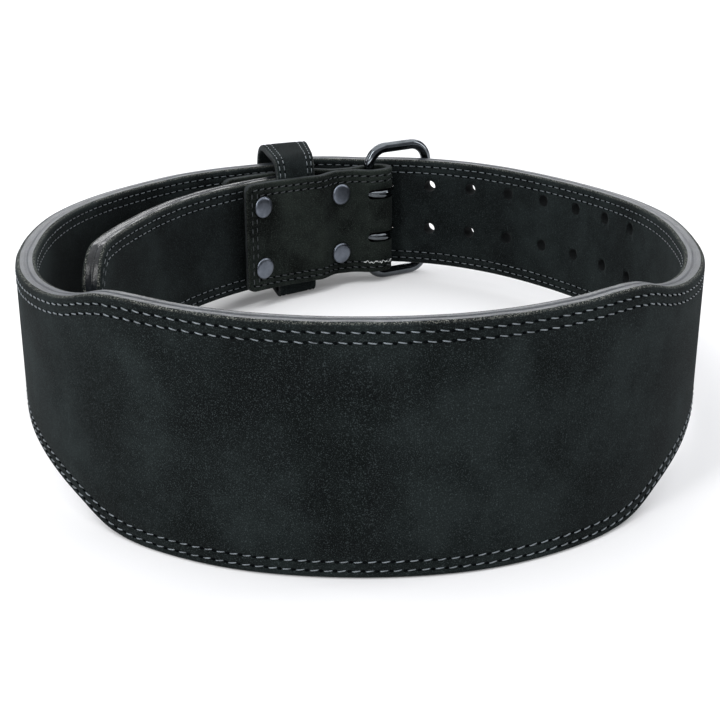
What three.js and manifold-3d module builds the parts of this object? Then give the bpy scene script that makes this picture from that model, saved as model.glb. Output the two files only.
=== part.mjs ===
// Weightlifting belt standing on its edge, fastened round as a waist would hold it.
// Millimetres, +Z up. The wide back of the belt faces -Y, the buckle stands at +Y.
// Distances along the belt start at the middle of the wide back and grow to the right.
import * as THREE from 'three';
import { mergeVertices } from 'three/addons/utils/BufferGeometryUtils.js';
import Module from 'manifold-3d';

// Belt leather
const loopFrontFullness = 2.2;   // 2 is an ellipse and more is squarer: the half round the wide back
const loopFarFullness = 1.9;     // and the half by the buckle
const loopSteps = 24;
const loopWidth = 303;          // across the loop, between the middles of the leather
const loopDepth = 367;        // back to buckle, between the middles of the leather
const beltThickness = 9.4;      // two layers glued and stitched
const glueLine = 0.3;           // gap between the two layers
const backWidth = 101.6;        // height of the wide back
const armWidth = 63.5;          // height of the two arms
const backAside = 7;            // the wide back's middle lies this far right of the loop's front
const taperStart = 93;          // from the wide back's middle
const taperLength = 150;
const armDrop = 12;             // the arms lean down to the buckle by this much
const leatherBevel = 1.1;       // worn outer corners
const tipCorner = 24;           // radius of the corners of a strap's free end
const fit = 0.35;               // running clearance between pieces

// Where the belt closes
const buckleAt = 0.494;         // share of the loop's length where the heel bar lies
const armEndPast = 41;          // the left arm ends this far past the heel bar
const tipPast = 62;             // and the tip ends here, outside the arm
const endGap = 4.4;             // between the tip and the arm under it
const endBlend = 70;            // length in which the arm moves in under the tip

// Holes in the right arm
const holeDiameter = 6.6;
const holePitch = 26.9;
const holeRowSpacing = 26;
const holeRowDrop = 15.1;       // upper row below the top edge, at the buckle
const holeRowClimb = 1.3;       // and higher by this much at each further column
const holeColumns = 8;
const firstHoleBeside = 11.2;   // the hole in use, beside the heel bar

// Strap that carries the buckle
const standOff = 15.5;          // it stands this much further in than the heel bar
const strapReach = 294;         // measured along the loop from the heel bar
const strapStart = 39;          // its hidden end, measured along the strap itself
const strapWidth = 62.2;
const strapDrop = 0.2;          // its middle below the arms' middle, at the buckle
const strapRise = 5.2;          // and how much higher its free end stands

// Folded leather that holds the heel bar
const chapeThickness = 4.2;
const chapeHeight = 62;
const chapeDrop = 0.6;          // its middle below the arms' middle, at the heel bar
const chapeRise = 4;            // and how much higher its other edge stands
const chapeReach = 92;
const chapeClearance = 4.5;     // from the fold to the strap with the holes
const foldRoom = 1.1;           // between the heel bar and the leaves
const foldSlack = 6;            // the fold's end stands this far off the heel bar
const pinchRun = 12.5;          // from the heel bar to where the leaves meet
const stepAt = 27;              // where the leaves begin to part again
const stepRun = 11.2;
const slotHeight = 7.5;
const slotReach = 6.2;          // past the heel bar, into the leaves

// Rivets
const rivetRows = 35.5;         // distance between the upper and lower rivets
const rivetRightAt = 20.4;      // from the heel bar
const rivetLeftAt = 80.5;
const capDiameter = 12.3;
const capHeight = 1.5;
const shankDiameter = 4.2;
const headDiameter = 8.4;
const headHeight = 1.1;

// Keeper
const keeperThickness = 3.4;
const keeperWidth = 26.5;
const keeperFrontAt = 51.8;     // middle of its front leg, along the buckle strap
const keeperBackPast = 50;      // middle of its back leg, along the loop
const keeperFrontRise = 10.7;   // crown above the buckle strap's top edge
const keeperBackRise = 12;      // and above the tip's
const keeperFootCorner = 9;
const keeperFrontCorner = 15;
const keeperBackCorner = 20;
const keeperRoom = 1;           // between its back leg and the tip

// Buckle
const wireDiameter = 6;
const frameHeight = 83;
const frameSpacing = 39.5;      // heel bar to far bar
const frameCorner = 11;
const frameLift = 1.5;          // far bar above the strap that it crosses
const prongDiameter = 4.6;
const prongPast = 4;            // past the far bar
const prongSag = 0.8;           // below the middle of its hole

const leather = { color: '#1b2022', roughness: 0.92, metalness: 0 };
const chapeLeather = { color: '#1d2020', roughness: 0.92, metalness: 0 };
const gunmetal = { color: '#3b3f43', roughness: 0.28, metalness: 1 };
const nickel = { color: '#8b8e99', roughness: 0.35, metalness: 1 };

// Taper from the back's width (1) to the arm's width (0), along shares of the taper's length
const taperTable = [
  { along: 0.00, width: 1.00 },
  { along: 0.06, width: 0.98 },
  { along: 0.13, width: 0.91 },
  { along: 0.18, width: 0.80 },
  { along: 0.25, width: 0.62 },
  { along: 0.33, width: 0.475 },
  { along: 0.43, width: 0.35 },
  { along: 0.60, width: 0.20 },
  { along: 0.77, width: 0.09 },
  { along: 1.00, width: 0.00 },
];

// How far the arms have dropped, along shares of half the loop, as shares of the drop
const dropTable = [
  { along: 0.42, drop: 0.00 },
  { along: 0.55, drop: 0.25 },
  { along: 0.76, drop: 0.75 },
  { along: 0.88, drop: 0.85 },
  { along: 1.00, drop: 1.00 },
];

// How far the buckle strap stands in from the heel bar's line, as shares of the stand-off
const standOffTable = [
  { along: 0.00, inset: 0.00 },
  { along: 0.08, inset: 0.50 },
  { along: 0.12, inset: 0.60 },
  { along: 0.16, inset: 0.67 },
  { along: 0.23, inset: 0.85 },
  { along: 0.41, inset: 1.00 },
  { along: 0.70, inset: 0.97 },
  { along: 1.00, inset: 0.50 },
];

// A smooth rise from 0 to 1
function ease(share) {
  const held = THREE.MathUtils.clamp(share, 0, 1);
  return held * held * (3 - 2 * held);
}

// Value of a table's column at a place along it: a cubic through the rows that never overshoots
function readTable(rows, along, column) {
  const last = rows.length - 1;
  if (along <= rows[0].along) return rows[0][column];
  if (along >= rows[last].along) return rows[last][column];
  const slopes = [];
  for (let i = 0; i < last; i += 1) {
    slopes.push((rows[i + 1][column] - rows[i][column]) / (rows[i + 1].along - rows[i].along));
  }
  const tangents = rows.map((row, i) => {
    if (i === 0) return slopes[0];
    if (i === last) return slopes[last - 1];
    const product = slopes[i - 1] * slopes[i];
    return product > 0 ? (2 * product) / (slopes[i - 1] + slopes[i]) : 0;
  });
  const i = rows.findIndex((row) => row.along > along) - 1;
  const step = rows[i + 1].along - rows[i].along;
  const t = (along - rows[i].along) / step;
  const blend = ease(t);
  const start = rows[i][column] + tangents[i] * step * t * (1 - t) * (1 - t);
  const end = rows[i + 1][column] - tangents[i + 1] * step * t * t * (1 - t);
  return rows[i][column] * (1 - blend) + rows[i + 1][column] * blend
    + (start - rows[i][column]) + (end - rows[i + 1][column]);
}

// A point in plan with its direction of travel and the direction out of the loop
function planFrame(point, direction) {
  const along = direction.clone().normalize();
  const out = new THREE.Vector3(along.y, -along.x, 0);
  return { point, along, out };
}

function shifted(frame, outward) {
  return frame.point.clone().addScaledVector(frame.out, outward);
}

// The loop: the middle of the leather seen from above is an oval of two halves, which starts at the
// middle of the wide back and runs round to the right
function loopPoint(step) {
  const turn = (2 * Math.PI * step) / loopSteps;
  const power = 2 / (Math.cos(turn) > 0 ? loopFrontFullness : loopFarFullness);
  const across = Math.sign(Math.sin(turn)) * Math.abs(Math.sin(turn)) ** power;
  const forward = Math.sign(Math.cos(turn)) * Math.abs(Math.cos(turn)) ** power;
  return new THREE.Vector3((across * loopWidth) / 2, ((1 - forward) * loopDepth) / 2, 0);
}

const loopCurve = new THREE.CatmullRomCurve3(
  Array.from({ length: loopSteps }, (_, step) => loopPoint(step)),
  true,
  'centripetal',
);
loopCurve.arcLengthDivisions = 2400;
const loopLength = loopCurve.getLength();
const buckleStation = buckleAt * loopLength;

function loopFrame(distance) {
  const share = THREE.MathUtils.euclideanModulo(distance / loopLength, 1);
  return planFrame(loopCurve.getPointAt(share), loopCurve.getTangentAt(share));
}

// The tip lies outside the left arm's end, so each moves half their distance off the loop
const endOffset = (beltThickness + endGap) / 2;

function endShift(distance) {
  const past = distance - buckleStation;
  const outward = ease(past / armEndPast);
  const inward = ease((tipPast + endBlend - past - loopLength) / endBlend);
  return endOffset * (outward - inward);
}

// Height of the belt's middle, and its width, by distance along it
function beltMiddle(distance) {
  const share = Math.abs(distance) / (loopLength / 2);
  return backWidth / 2 - armDrop * readTable(dropTable, share, 'drop');
}

function beltWidth(distance) {
  const share = (Math.abs(distance - backAside) - taperStart) / taperLength;
  return armWidth + (backWidth - armWidth) * readTable(taperTable, share, 'width');
}

function beltTop(distance) {
  return beltMiddle(distance) + beltWidth(distance) / 2;
}

// How much a strap's rounded end has lost at its top and bottom
function cornerLoss(fromEnd, radius) {
  if (fromEnd >= radius) return 0;
  return radius - Math.sqrt(radius * radius - (radius - fromEnd) ** 2);
}

// Places along a strap: even steps, and a finer fan where an end is rounded
function stations(start, end, step, radiusAtStart, radiusAtEnd) {
  const places = [];
  const fan = [0, 0.04, 0.14, 0.3, 0.5, 0.75, 1];
  const from = start + radiusAtStart;
  const to = end - radiusAtEnd;
  if (radiusAtStart > 0) fan.forEach((share) => places.push(start + share * radiusAtStart));
  else places.push(start);
  const count = Math.round((to - from) / step);
  for (let i = 1; i < count; i += 1) places.push(from + ((to - from) * i) / count);
  if (radiusAtEnd > 0) fan.toReversed().forEach((share) => places.push(end - share * radiusAtEnd));
  else places.push(end);
  return places;
}

// Skin over a row of rings with equally many points, closed on itself or capped at its ends
function loft(rings, closed) {
  const size = rings[0].length;
  const positions = rings.flat().flatMap((point) => [point.x, point.y, point.z]);
  const index = [];
  const spans = closed ? rings.length : rings.length - 1;
  for (let i = 0; i < spans; i += 1) {
    const a = i * size;
    const b = ((i + 1) % rings.length) * size;
    for (let j = 0; j < size; j += 1) {
      const k = (j + 1) % size;
      index.push(a + j, a + k, b + k, a + j, b + k, b + j);
    }
  }
  if (!closed) {
    const tail = (rings.length - 1) * size;
    for (let j = 1; j < size - 1; j += 1) {
      index.push(0, j + 1, j);
      index.push(tail, tail + j, tail + j + 1);
    }
  }
  const geometry = new THREE.BufferGeometry();
  geometry.setAttribute('position', new THREE.Float32BufferAttribute(positions, 3));
  geometry.setIndex(index);
  return outward(geometry);
}

// Turns a closed skin's faces out if its volume comes out negative
function outward(geometry) {
  const place = geometry.getAttribute('position');
  const index = geometry.getIndex().array;
  const corner = (i) => new THREE.Vector3().fromBufferAttribute(place, index[i]);
  let volume = 0;
  for (let i = 0; i < index.length; i += 3) {
    volume += corner(i).dot(corner(i + 1).cross(corner(i + 2)));
  }
  if (volume < 0) {
    for (let i = 0; i < index.length; i += 3) {
      [index[i + 1], index[i + 2]] = [index[i + 2], index[i + 1]];
    }
  }
  return geometry;
}

// One leather layer: between two offsets from the strap's middle, bevelled on its outer side
function layerRing(frame, near, far, bottom, top) {
  const side = Math.sign(far - near);
  const bevelled = far - side * leatherBevel;
  const section = [
    [near, bottom],
    [bevelled, bottom],
    [far, bottom + leatherBevel],
    [far, top - leatherBevel],
    [bevelled, top],
    [near, top],
  ];
  return section.map(([offset, height]) => shifted(frame, offset).setZ(height));
}

function beltLayer(side) {
  const start = buckleStation + armEndPast - loopLength;
  const end = buckleStation + tipPast;
  const rings = stations(start, end, 9.5, 0, tipCorner).map((distance) => {
    const loss = cornerLoss(end - distance, tipCorner);
    const middle = beltMiddle(distance);
    const half = beltWidth(distance) / 2 - loss;
    const shift = endShift(distance);
    const near = shift + (side * glueLine) / 2;
    const far = shift + (side * beltThickness) / 2;
    return layerRing(loopFrame(distance), near, far, middle - half, middle + half);
  });
  return loft(rings, false);
}

// Heel bar and the line of the buckle strap, which leads from it round to the left
const strapInnerFace = endShift(buckleStation) - beltThickness / 2;
const foldRadius = wireDiameter / 2 + foldRoom + chapeThickness / 2;
const heelOffset = strapInnerFace - chapeClearance - foldRadius - chapeThickness / 2;
const heelFrame = loopFrame(buckleStation);
const heel = shifted(heelFrame, heelOffset);
const strapLinePoints = [];
for (let i = 0; i <= 24; i += 1) {
  const share = i / 24;
  const inset = standOff * readTable(standOffTable, share, 'inset');
  strapLinePoints.push(shifted(loopFrame(buckleStation + share * strapReach), heelOffset - inset));
}
const strapCurve = new THREE.CatmullRomCurve3(strapLinePoints);
strapCurve.arcLengthDivisions = 800;
const strapLength = strapCurve.getLength();

function strapFrame(distance) {
  const share = THREE.MathUtils.clamp(distance / strapLength, 0, 1);
  const frame = planFrame(strapCurve.getPointAt(share), strapCurve.getTangentAt(share));
  frame.point.addScaledVector(frame.along, Math.min(distance, 0));
  return frame;
}

const armMiddle = backWidth / 2 - armDrop;

function strapHeight(distance) {
  return armMiddle - strapDrop + (strapRise * distance) / strapLength;
}

function leafHeight(distance) {
  return armMiddle - chapeDrop + (chapeRise * Math.max(distance, 0)) / chapeReach;
}

function strapLayer(side) {
  const near = (side * glueLine) / 2;
  const far = (side * beltThickness) / 2;
  const rings = stations(strapStart, strapLength, 9, 0, tipCorner).map((distance) => {
    const half = strapWidth / 2 - cornerLoss(strapLength - distance, tipCorner);
    const middle = strapHeight(distance);
    return layerRing(strapFrame(distance), near, far, middle - half, middle + half);
  });
  return loft(rings, false);
}

// Distance of a chape leaf from the strap's line: round the heel bar, pinched, then over the strap
const pinchOffset = (chapeThickness + fit) / 2;
const overStrap = beltThickness / 2 + fit + chapeThickness / 2;

function leafOffset(distance) {
  const pinched = THREE.MathUtils.lerp(foldRadius, pinchOffset, ease(distance / pinchRun));
  return THREE.MathUtils.lerp(pinched, overStrap, ease((distance - stepAt) / stepRun));
}

// The front leaf also clears the keeper's front leg
function frontLeafOffset(distance) {
  return leafOffset(distance) + (keeperThickness + fit) * ease((distance - stepAt) / stepRun);
}

function chapeSkin() {
  const leafStations = stations(-foldSlack, chapeReach, 2.4, 0, 0);
  const centres = [];
  const front = (distance) => shifted(strapFrame(distance), -frontLeafOffset(distance));
  const back = (distance) => shifted(strapFrame(distance), leafOffset(distance));
  leafStations.toReversed().forEach((distance) => centres.push({ distance, point: front(distance) }));
  const bend = strapFrame(-foldSlack);
  for (let i = 1; i < 10; i += 1) {
    const angle = -Math.PI / 2 + (Math.PI * i) / 10;
    const point = bend.point.clone();
    point.addScaledVector(bend.along, -foldRadius * Math.cos(angle));
    point.addScaledVector(bend.out, foldRadius * Math.sin(angle));
    centres.push({ distance: 0, point });
  }
  leafStations.forEach((distance) => centres.push({ distance, point: back(distance) }));
  const bevel = leatherBevel / 2;
  const rings = centres.map((centre, i) => {
    const before = centres[Math.max(i - 1, 0)].point;
    const after = centres[Math.min(i + 1, centres.length - 1)].point;
    const frame = planFrame(centre.point, after.clone().sub(before));
    const half = chapeThickness / 2;
    const middle = leafHeight(centre.distance);
    const low = middle - chapeHeight / 2;
    const high = middle + chapeHeight / 2;
    const section = [
      [-half + bevel, low], [half - bevel, low], [half, low + bevel], [half, high - bevel],
      [half - bevel, high], [-half + bevel, high], [-half, high - bevel], [-half, low + bevel],
    ];
    return section.map(([offset, height]) => shifted(frame, offset).setZ(height));
  });
  return loft(rings, false);
}

// Far bar: outside the strap with the holes, at the frame's spacing from the heel bar
function findFarBar() {
  const outwardOffset = (distance) => endShift(distance) + beltThickness / 2 + frameLift
    + wireDiameter / 2;
  let near = buckleStation;
  let far = buckleStation - 2 * frameSpacing;
  for (let i = 0; i < 40; i += 1) {
    const middle = (near + far) / 2;
    const candidate = shifted(loopFrame(middle), outwardOffset(middle));
    if (candidate.distanceTo(heel) < frameSpacing) near = middle;
    else far = middle;
  }
  return shifted(loopFrame(near), outwardOffset(near));
}

const farBar = findFarBar();

// Round wire along a path of points: each ring stands square to the path
function wire(points, radius, sides, closed) {
  const count = points.length;
  const up = new THREE.Vector3(0, 0, 1);
  const rings = points.map((point, i) => {
    const before = points[closed ? (i + count - 1) % count : Math.max(i - 1, 0)];
    const after = points[closed ? (i + 1) % count : Math.min(i + 1, count - 1)];
    const along = after.clone().sub(before).normalize();
    const plane = points.planeNormal ?? up;
    const across = new THREE.Vector3().crossVectors(plane, along).normalize();
    const ring = [];
    for (let j = 0; j < sides; j += 1) {
      const angle = (2 * Math.PI * (j + 0.5)) / sides;
      const spoke = across.clone().multiplyScalar(Math.cos(angle) * radius);
      ring.push(point.clone().add(spoke).addScaledVector(plane, Math.sin(angle) * radius));
    }
    return ring;
  });
  return loft(rings, closed);
}

function frameSkin() {
  const radius = wireDiameter / 2;
  const along = farBar.clone().sub(heel).normalize();
  const low = radius;
  const high = frameHeight - radius;
  const corners = [
    { along: 0, height: low, turn: Math.PI },
    { along: frameSpacing, height: low, turn: 1.5 * Math.PI },
    { along: frameSpacing, height: high, turn: 0 },
    { along: 0, height: high, turn: 0.5 * Math.PI },
  ];
  const points = [];
  for (const corner of corners) {
    const inAlong = corner.along === 0 ? frameCorner : frameSpacing - frameCorner;
    const inHeight = corner.height === low ? low + frameCorner : high - frameCorner;
    for (let i = 0; i <= 6; i += 1) {
      const angle = corner.turn + (Math.PI / 2) * (i / 6);
      const point = heel.clone().addScaledVector(along, inAlong + frameCorner * Math.cos(angle));
      points.push(point.setZ(inHeight + frameCorner * Math.sin(angle)));
    }
  }
  points.planeNormal = new THREE.Vector3().crossVectors(along, new THREE.Vector3(0, 0, 1));
  return wire(points, radius, 12, true);
}

// Holes: centres on the strap's middle line, with the direction that they are punched in
function holePlace(column) {
  const distance = buckleStation - firstHoleBeside - column * holePitch;
  const frame = loopFrame(distance);
  const upper = beltTop(buckleStation) - holeRowDrop + column * holeRowClimb;
  return { frame, centre: shifted(frame, endShift(distance)), upper, lower: upper - holeRowSpacing };
}

// A prong: hooked round the heel bar, out through its hole, and over the far bar
function prongSkin(height) {
  const radius = prongDiameter / 2;
  const hook = wireDiameter / 2 + fit + radius;
  const right = heelFrame.along.clone().negate();
  const beside = (across, outwards) => heel.clone().addScaledVector(right, across)
    .addScaledVector(heelFrame.out, outwards);
  const points = [-105, -80].map((turn) => {
    const angle = THREE.MathUtils.degToRad(turn);
    return beside(hook * Math.cos(angle), hook * Math.sin(angle));
  });
  const hole = holePlace(0);
  const through = beltThickness / 2 + radius + fit;
  const outOfHole = (amount) => hole.centre.clone().addScaledVector(hole.frame.out, amount);
  points.push(beside(firstHoleBeside * 0.6, -hook * 0.95));
  points.push(beside(firstHoleBeside * 0.95, -hook * 0.4));
  points.push(outOfHole(-through));
  points.push(outOfHole(beltThickness * 0.3));
  const frameAlong = farBar.clone().sub(heel).normalize();
  const frameOut = new THREE.Vector3(-frameAlong.y, frameAlong.x, 0);
  const rest = farBar.clone().addScaledVector(frameOut, wireDiameter / 2 + fit + radius);
  const leave = outOfHole(through + radius);
  points.push(leave.clone().lerp(rest, 0.16));
  points.push(leave.clone().lerp(rest, 0.6).addScaledVector(frameOut, radius / 2));
  points.push(rest);
  points.push(rest.clone().addScaledVector(frameAlong, prongPast));
  const smooth = new THREE.CatmullRomCurve3(points).getSpacedPoints(30);
  return wire(smooth.map((point) => point.setZ(height)), radius, 10, false);
}

// Keeper: a leather ring round the buckle strap, the arm's end and the tip
const keeperFrontTop = strapHeight(keeperFrontAt) + strapWidth / 2 + keeperFrontRise;
const keeperBackTop = beltTop(buckleStation + keeperBackPast) + keeperBackRise;

function keeperOutline(depth, inset) {
  const back = depth - inset;
  const corners = [
    { at: inset, height: inset, radius: keeperFootCorner - inset },
    { at: back, height: inset, radius: keeperFootCorner - inset },
    { at: back, height: keeperBackTop - inset, radius: keeperBackCorner - inset },
    { at: inset, height: keeperFrontTop - inset, radius: keeperFrontCorner - inset },
  ];
  const outline = [];
  corners.forEach((corner, i) => {
    const before = corners[(i + 3) % 4];
    const after = corners[(i + 1) % 4];
    const here = new THREE.Vector2(corner.at, corner.height);
    const arrive = new THREE.Vector2(before.at, before.height).sub(here).normalize();
    const depart = new THREE.Vector2(after.at, after.height).sub(here).normalize();
    const start = here.clone().addScaledVector(arrive, corner.radius);
    const finish = here.clone().addScaledVector(depart, corner.radius);
    outline.push(...new THREE.QuadraticBezierCurve(start, here, finish).getPoints(6));
  });
  return outline;
}

function keeperSkin() {
  const backOffset = endOffset + beltThickness / 2 + keeperRoom + keeperThickness;
  const frontOffset = beltThickness / 2 + fit + keeperThickness;
  const slices = [-0.5, -0.25, 0, 0.25, 0.5].map((share) => {
    const along = share * keeperWidth;
    const front = shifted(strapFrame(keeperFrontAt + along), -frontOffset);
    const back = shifted(loopFrame(buckleStation + keeperBackPast + along), backOffset);
    const depth = front.distanceTo(back);
    const direction = back.clone().sub(front).normalize();
    const lift = (point) => front.clone().addScaledVector(direction, point.x).setZ(point.y);
    return {
      outer: keeperOutline(depth, 0).map(lift),
      inner: keeperOutline(depth, keeperThickness).map(lift),
    };
  });
  const rings = slices[0].outer.map((_, i) => [
    ...slices.map((slice) => slice.outer[i]),
    ...slices.toReversed().map((slice) => slice.inner[i]),
  ]);
  return loft(rings, true);
}

// A rivet: domed cap in front, shank through the layers, flat head behind
function rivetSkin(stack) {
  const cap = capDiameter / 2;
  const shank = shankDiameter / 2;
  const head = headDiameter / 2;
  const profile = [
    [0, capHeight],
    [cap * 0.5, capHeight * 0.93],
    [cap * 0.86, capHeight * 0.66],
    [cap, capHeight * 0.25],
    [cap, 0],
    [shank, 0],
    [shank, -stack],
    [head, -stack],
    [head, -stack - headHeight * 0.5],
    [head * 0.8, -stack - headHeight],
    [0, -stack - headHeight],
  ];
  const points = profile.map(([radius, height]) => new THREE.Vector2(radius, height));
  return new THREE.LatheGeometry(points.reverse(), 20);
}

const rivetPlaces = [];
for (const [side, distance] of [['right', rivetRightAt], ['left', rivetLeftAt]]) {
  for (const [row, sign] of [['upper', 1], ['lower', -1]]) {
    const frame = strapFrame(distance);
    const face = frontLeafOffset(distance) + chapeThickness / 2 + fit;
    const height = leafHeight(distance) + (sign * rivetRows) / 2;
    rivetPlaces.push({
      name: `rivet_${side}_${row}`,
      frame,
      seat: shifted(frame, -face).setZ(height),
      centre: frame.point.clone().setZ(height),
      stack: face + leafOffset(distance) + chapeThickness / 2 + fit,
    });
  }
}

// Cutting
const wasm = await Module();
wasm.setup();

function toSolid(geometry) {
  const bare = geometry.clone();
  bare.deleteAttribute('normal');
  bare.deleteAttribute('uv');
  const merged = mergeVertices(bare, 1e-5);
  return new wasm.Manifold(new wasm.Mesh({
    numProp: 3,
    vertProperties: new Float32Array(merged.getAttribute('position').array),
    triVerts: new Uint32Array(merged.getIndex().array),
  }));
}

function toGeometry(solid) {
  const mesh = solid.getMesh();
  const geometry = new THREE.BufferGeometry();
  geometry.setAttribute('position', new THREE.Float32BufferAttribute(mesh.vertProperties, 3));
  geometry.setIndex(Array.from(mesh.triVerts));
  return geometry;
}

function cut(geometry, cutters) {
  return toGeometry(cutters.reduce((solid, cutter) => solid.subtract(toSolid(cutter)),
    toSolid(geometry)));
}

// A punch of the given radius through a point, along a direction in plan
function punch(centre, direction, radius, length) {
  const geometry = new THREE.CylinderGeometry(radius, radius, length, 18);
  const turn = new THREE.Quaternion().setFromUnitVectors(new THREE.Vector3(0, 1, 0), direction);
  return geometry.applyQuaternion(turn).translate(centre.x, centre.y, centre.z);
}

const holePunches = [];
for (let column = 0; column < holeColumns; column += 1) {
  const { frame, centre, upper, lower } = holePlace(column);
  for (const height of [upper, lower]) {
    holePunches.push(punch(centre.clone().setZ(height), frame.out, holeDiameter / 2,
      2 * beltThickness));
  }
}

const rivetPunches = rivetPlaces.map((place) => (
  punch(place.centre, place.frame.out, shankDiameter / 2 + fit, 6 * beltThickness)
));

// Slots in the fold, one for each prong
const prongUpper = holePlace(0).upper - prongSag;
const prongLower = holePlace(0).lower - prongSag;
const slots = [prongUpper, prongLower].map((height) => {
  const start = strapFrame(0);
  const length = slotReach + foldSlack + foldRadius + chapeThickness;
  const box = new THREE.BoxGeometry(length, 2 * foldRadius + 3 * chapeThickness, slotHeight);
  box.rotateZ(Math.atan2(start.along.y, start.along.x));
  const centre = start.point.clone().addScaledVector(start.along, slotReach - length / 2);
  return box.translate(centre.x, centre.y, height);
});

// Assembly
const belt = new THREE.Group();

function add(name, geometry, look) {
  const mesh = new THREE.Mesh(geometry, new THREE.MeshStandardMaterial(look));
  mesh.name = name;
  belt.add(mesh);
  return mesh;
}

add('belt_outer_layer', cut(beltLayer(1), holePunches), leather);
add('belt_inner_layer', cut(beltLayer(-1), holePunches), leather);
add('buckle_strap_outer_layer', cut(strapLayer(1), rivetPunches), leather);
add('buckle_strap_inner_layer', cut(strapLayer(-1), rivetPunches), leather);
add('chape', cut(chapeSkin(), [...rivetPunches, ...slots]), chapeLeather);
add('keeper', keeperSkin(), leather);
add('buckle_frame', frameSkin(), gunmetal);
add('prong_upper', prongSkin(prongUpper), gunmetal);
add('prong_lower', prongSkin(prongLower), gunmetal);
for (const place of rivetPlaces) {
  const rivet = add(place.name, rivetSkin(place.stack), nickel);
  const inward = place.frame.out.clone().negate();
  rivet.quaternion.setFromUnitVectors(new THREE.Vector3(0, 1, 0), inward);
  rivet.position.copy(place.seat);
}

// The origin is the middle of the floor under the whole belt
const middle = new THREE.Box3().setFromObject(belt).getCenter(new THREE.Vector3());
belt.position.set(-middle.x, -middle.y, 0);

export default belt;
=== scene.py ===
# A suede weightlifting belt standing on its edge, fastened round.
# Lengths below are in millimetres until a mesh is made, which is in metres.
import math

import bpy
import numpy as np
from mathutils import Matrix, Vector


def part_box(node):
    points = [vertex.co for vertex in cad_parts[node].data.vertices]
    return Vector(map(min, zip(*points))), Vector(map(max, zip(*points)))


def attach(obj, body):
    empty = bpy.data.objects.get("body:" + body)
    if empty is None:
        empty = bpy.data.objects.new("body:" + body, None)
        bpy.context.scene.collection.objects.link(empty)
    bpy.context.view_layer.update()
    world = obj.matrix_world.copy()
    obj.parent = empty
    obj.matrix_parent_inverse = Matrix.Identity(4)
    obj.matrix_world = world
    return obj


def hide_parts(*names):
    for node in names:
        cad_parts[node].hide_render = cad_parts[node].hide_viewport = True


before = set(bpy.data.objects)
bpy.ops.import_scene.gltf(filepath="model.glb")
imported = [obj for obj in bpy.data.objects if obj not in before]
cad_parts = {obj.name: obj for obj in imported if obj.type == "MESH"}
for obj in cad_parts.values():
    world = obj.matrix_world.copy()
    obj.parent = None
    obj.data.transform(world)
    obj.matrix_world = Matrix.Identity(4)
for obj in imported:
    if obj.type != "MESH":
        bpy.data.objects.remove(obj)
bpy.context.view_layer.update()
print("frame loaded:", len(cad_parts), "nodes")

mm = 0.001


# general helpers

def linearColour(hexValue, alpha=1.0):
    # sRGB hex to linear: below 0.04045 a straight line, above it the 2.4 power curve
    channels = [int(hexValue[i:i + 2], 16) / 255 for i in (1, 3, 5)]
    return tuple(c / 12.92 if c <= 0.04045 else ((c + 0.055) / 1.055) ** 2.4 for c in channels) + (alpha,)


def addNode(tree, kind, settings=None, links=None):
    # settings: node property or socket name to value; links: socket name to (node, output name)
    made = tree.nodes.new(kind)
    for name, value in (settings or {}).items():
        if isinstance(name, int) or name in made.inputs:
            made.inputs[name].default_value = value
        else:
            setattr(made, name, value)
    for name, (source, output) in (links or {}).items():
        tree.links.new(source.outputs[output], made.inputs[name])
    return made


def newMaterial(name):
    material = bpy.data.materials.new(name)
    material.use_nodes = True
    material.node_tree.nodes.clear()
    return material, material.node_tree


def finishMaterial(tree, shader):
    addNode(tree, "ShaderNodeOutputMaterial", links={"Surface": (shader, "BSDF")})


def addRamp(tree, source, output, stops):
    ramp = addNode(tree, "ShaderNodeValToRGB", links={"Fac": (source, output)})
    elements = ramp.color_ramp.elements
    elements[0].position, elements[0].color = stops[0]
    elements[1].position, elements[1].color = stops[-1]
    for position, colour in stops[1:-1]:
        elements.new(position).color = colour
    return ramp


def meshObject(name, points, faces, materials, faceMaterials=None, uv=None, smooth=True):
    # points in mm, faces as an (n, 4) or (n, 3) array, uv per point
    mesh = bpy.data.meshes.new(name)
    mesh.from_pydata((np.asarray(points) * mm).tolist(), [], np.asarray(faces).tolist())
    for material in materials:
        mesh.materials.append(material)
    if faceMaterials is not None:
        mesh.polygons.foreach_set("material_index", np.asarray(faceMaterials, dtype=np.int32))
    if uv is not None:
        layer = mesh.uv_layers.new(name="surface")
        corners = np.empty(len(mesh.loops), dtype=np.int32)
        mesh.loops.foreach_get("vertex_index", corners)
        layer.data.foreach_set("uv", np.asarray(uv, dtype=np.float32)[corners].ravel())
    mesh.polygons.foreach_set("use_smooth", np.full(len(mesh.polygons), smooth))
    mesh.update()
    piece = bpy.data.objects.new(name, mesh)
    bpy.context.collection.objects.link(piece)
    return piece


def facesOut(piece):
    # signed volume of a closed mesh: if it is negative, every face is turned
    mesh = piece.data
    mesh.calc_loop_triangles()
    place = np.empty(len(mesh.vertices) * 3)
    mesh.vertices.foreach_get("co", place)
    place = place.reshape(-1, 3)
    corner = np.empty(len(mesh.loop_triangles) * 3, dtype=np.int32)
    mesh.loop_triangles.foreach_get("vertices", corner)
    a, b, c = (place[corner.reshape(-1, 3)[:, k]] for k in range(3))
    if np.einsum("ij,ij->i", a, np.cross(b, c)).sum() < 0:
        mesh.flip_normals()
    return piece


def gridFaces(rows, columns, wrapRows, wrapColumns):
    # quads between neighbouring rows and columns of points, closed round where asked
    i = np.arange(rows if wrapRows else rows - 1)
    j = np.arange(columns if wrapColumns else columns - 1)
    i, j = np.meshgrid(i, j, indexing="ij")
    n, k = (i + 1) % rows, (j + 1) % columns
    return np.stack([i * columns + j, i * columns + k, n * columns + k, n * columns + j], -1).reshape(-1, 4)


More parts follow.
